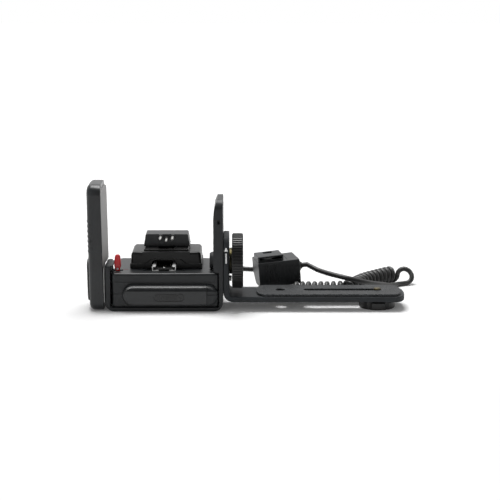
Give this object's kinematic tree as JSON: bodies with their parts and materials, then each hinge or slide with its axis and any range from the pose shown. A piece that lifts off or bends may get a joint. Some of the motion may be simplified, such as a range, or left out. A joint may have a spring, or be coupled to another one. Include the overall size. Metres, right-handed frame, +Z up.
{
  "type": "camera flash bracket",
  "caption": "Battery cradle with hand grip and flash shoe, clamped to a padded camera arm, with a curly lead to a hot-shoe adapter block.",
  "frame": {"origin": "underside of the cradle, on the battery case's centre line and under the middle of the flash shoe", "axes": "+X along the camera arm, away from the hand grip; +Y away from the battery door, towards the case's back; +Z up"},
  "size_m": [0.289, 0.1199, 0.1084],
  "materials": {
    "case_plastic": "satin",
    "frame_plastic": "fine grained",
    "grip_liner": "satin",
    "rubber": "pebbled",
    "arm_paint": "crackle paint",
    "chrome": "polished",
    "steel": "plain",
    "brass": "turned",
    "red_plastic": "glossy",
    "cell_sleeve": "plain",
    "board": "plain",
    "insulator": "plain",
    "cord": "satin"
  },
  "bodies": {
    "cradle": {"cradle_frame": "frame_plastic", "case_bottom": "case_plastic", "case_top": "case_plastic", "aa_cell_1": "cell_sleeve", "aa_cell_2": "cell_sleeve", "aa_cell_3": "cell_sleeve", "aa_cell_4": "cell_sleeve", "rear_contacts": "steel", "circuit_board": "board", "case_screw_1": "steel", "case_screw_2": "steel", "case_screw_3": "steel", "case_screw_4": "steel", "shoe_rails": "chrome", "shoe_insulator": "insulator", "shoe_contact_centre": "steel", "shoe_contact_ready": "steel", "shoe_contact_quench": "steel", "connector_base": "case_plastic", "connector_head": "case_plastic", "power_pin_1": "chrome", "power_pin_2": "chrome", "power_pin_3": "chrome", "lever_pin": "steel", "grip_shell": "frame_plastic", "grip_liner": "grip_liner", "grip_pad": "rubber", "grip_plate": "steel", "grip_screw_1": "steel", "grip_screw_2": "steel", "bracket_arm": "arm_paint", "arm_pad": "rubber", "tripod_bush": "steel", "locating_pin": "case_plastic", "clamp_nut": "brass", "cord_gland": "rubber", "cord_lead": "cord", "cord_curls": "cord", "cord_tail": "cord", "adapter_body": "case_plastic", "adapter_shoe_block": "case_plastic", "adapter_shoe_plate": "case_plastic", "adapter_hot_contact": "brass", "adapter_foot": "steel", "adapter_strain_relief": "rubber"},
    "door": {"battery_door": "case_plastic", "door_contacts": "steel"},
    "lever": {"lock_lever": "red_plastic"},
    "bar": {"lock_bar": "steel"},
    "shoe_pin": {"shoe_lock_pin": "steel"},
    "collar": {"clamp_collar": "brass"},
    "knob": {"clamp_knob": "case_plastic", "knob_cap": "case_plastic", "clamp_screw": "steel"},
    "slider": {"screw_slider": "steel"},
    "screw": {"camera_screw": "brass", "camera_screw_knob": "case_plastic", "screw_knob_core": "brass"},
    "lock_ring": {"adapter_lock_ring": "case_plastic"}
  },
  "joints": [
    {"name": "battery_door_slide", "type": "slide", "parent": "cradle", "child": "door", "axis": [-1, 0, 0], "range_m": [0, 0.0055]},
    {"name": "lock_lever_swing", "type": "hinge", "parent": "cradle", "child": "lever", "pos_m": [-0.041, -0.009, 0.029], "axis": [0, 1, 0], "range_deg": [0, 22]},
    {"name": "lock_bar_slide", "type": "slide", "parent": "cradle", "child": "bar", "axis": [1, 0, 0], "range_m": [-0.0018, 0]},
    {"name": "shoe_pin_drop", "type": "slide", "parent": "cradle", "child": "shoe_pin", "axis": [0, 0, 1], "range_m": [-0.00152, 0]},
    {"name": "clamp_travel", "type": "slide", "parent": "cradle", "child": "collar", "axis": [1, 0, 0], "range_m": [0, 0.0045]},
    {"name": "clamp_turn", "type": "hinge", "parent": "collar", "child": "knob", "pos_m": [0.0544, -0.003, 0.0403], "axis": [1, 0, 0], "range_deg": [0, 1079]},
    {"name": "camera_screw_slide", "type": "slide", "parent": "cradle", "child": "slider", "axis": [1, 0, 0], "range_m": [-0.06, 0]},
    {"name": "camera_screw_turn", "type": "hinge", "parent": "slider", "child": "screw", "pos_m": [0.1813, -0.003, 0], "axis": [0, 0, 1], "continuous": true},
    {"name": "adapter_ring_turn", "type": "hinge", "parent": "cradle", "child": "lock_ring", "pos_m": [0.0971, 0.0466, 0.00074], "axis": [-0.0787, -0.0153, 0.9968], "range_deg": [0, 270]}
  ],
  "couplings": [
    {"joint": "clamp_travel", "follows": "clamp_turn", "m_per_rad": 0.00023873},
    {"joint": "lock_lever_swing", "follows": "lock_bar_slide", "rad_per_m": -212.77},
    {"joint": "shoe_pin_drop", "follows": "lock_bar_slide", "ratio": 0.8298}
  ]
}
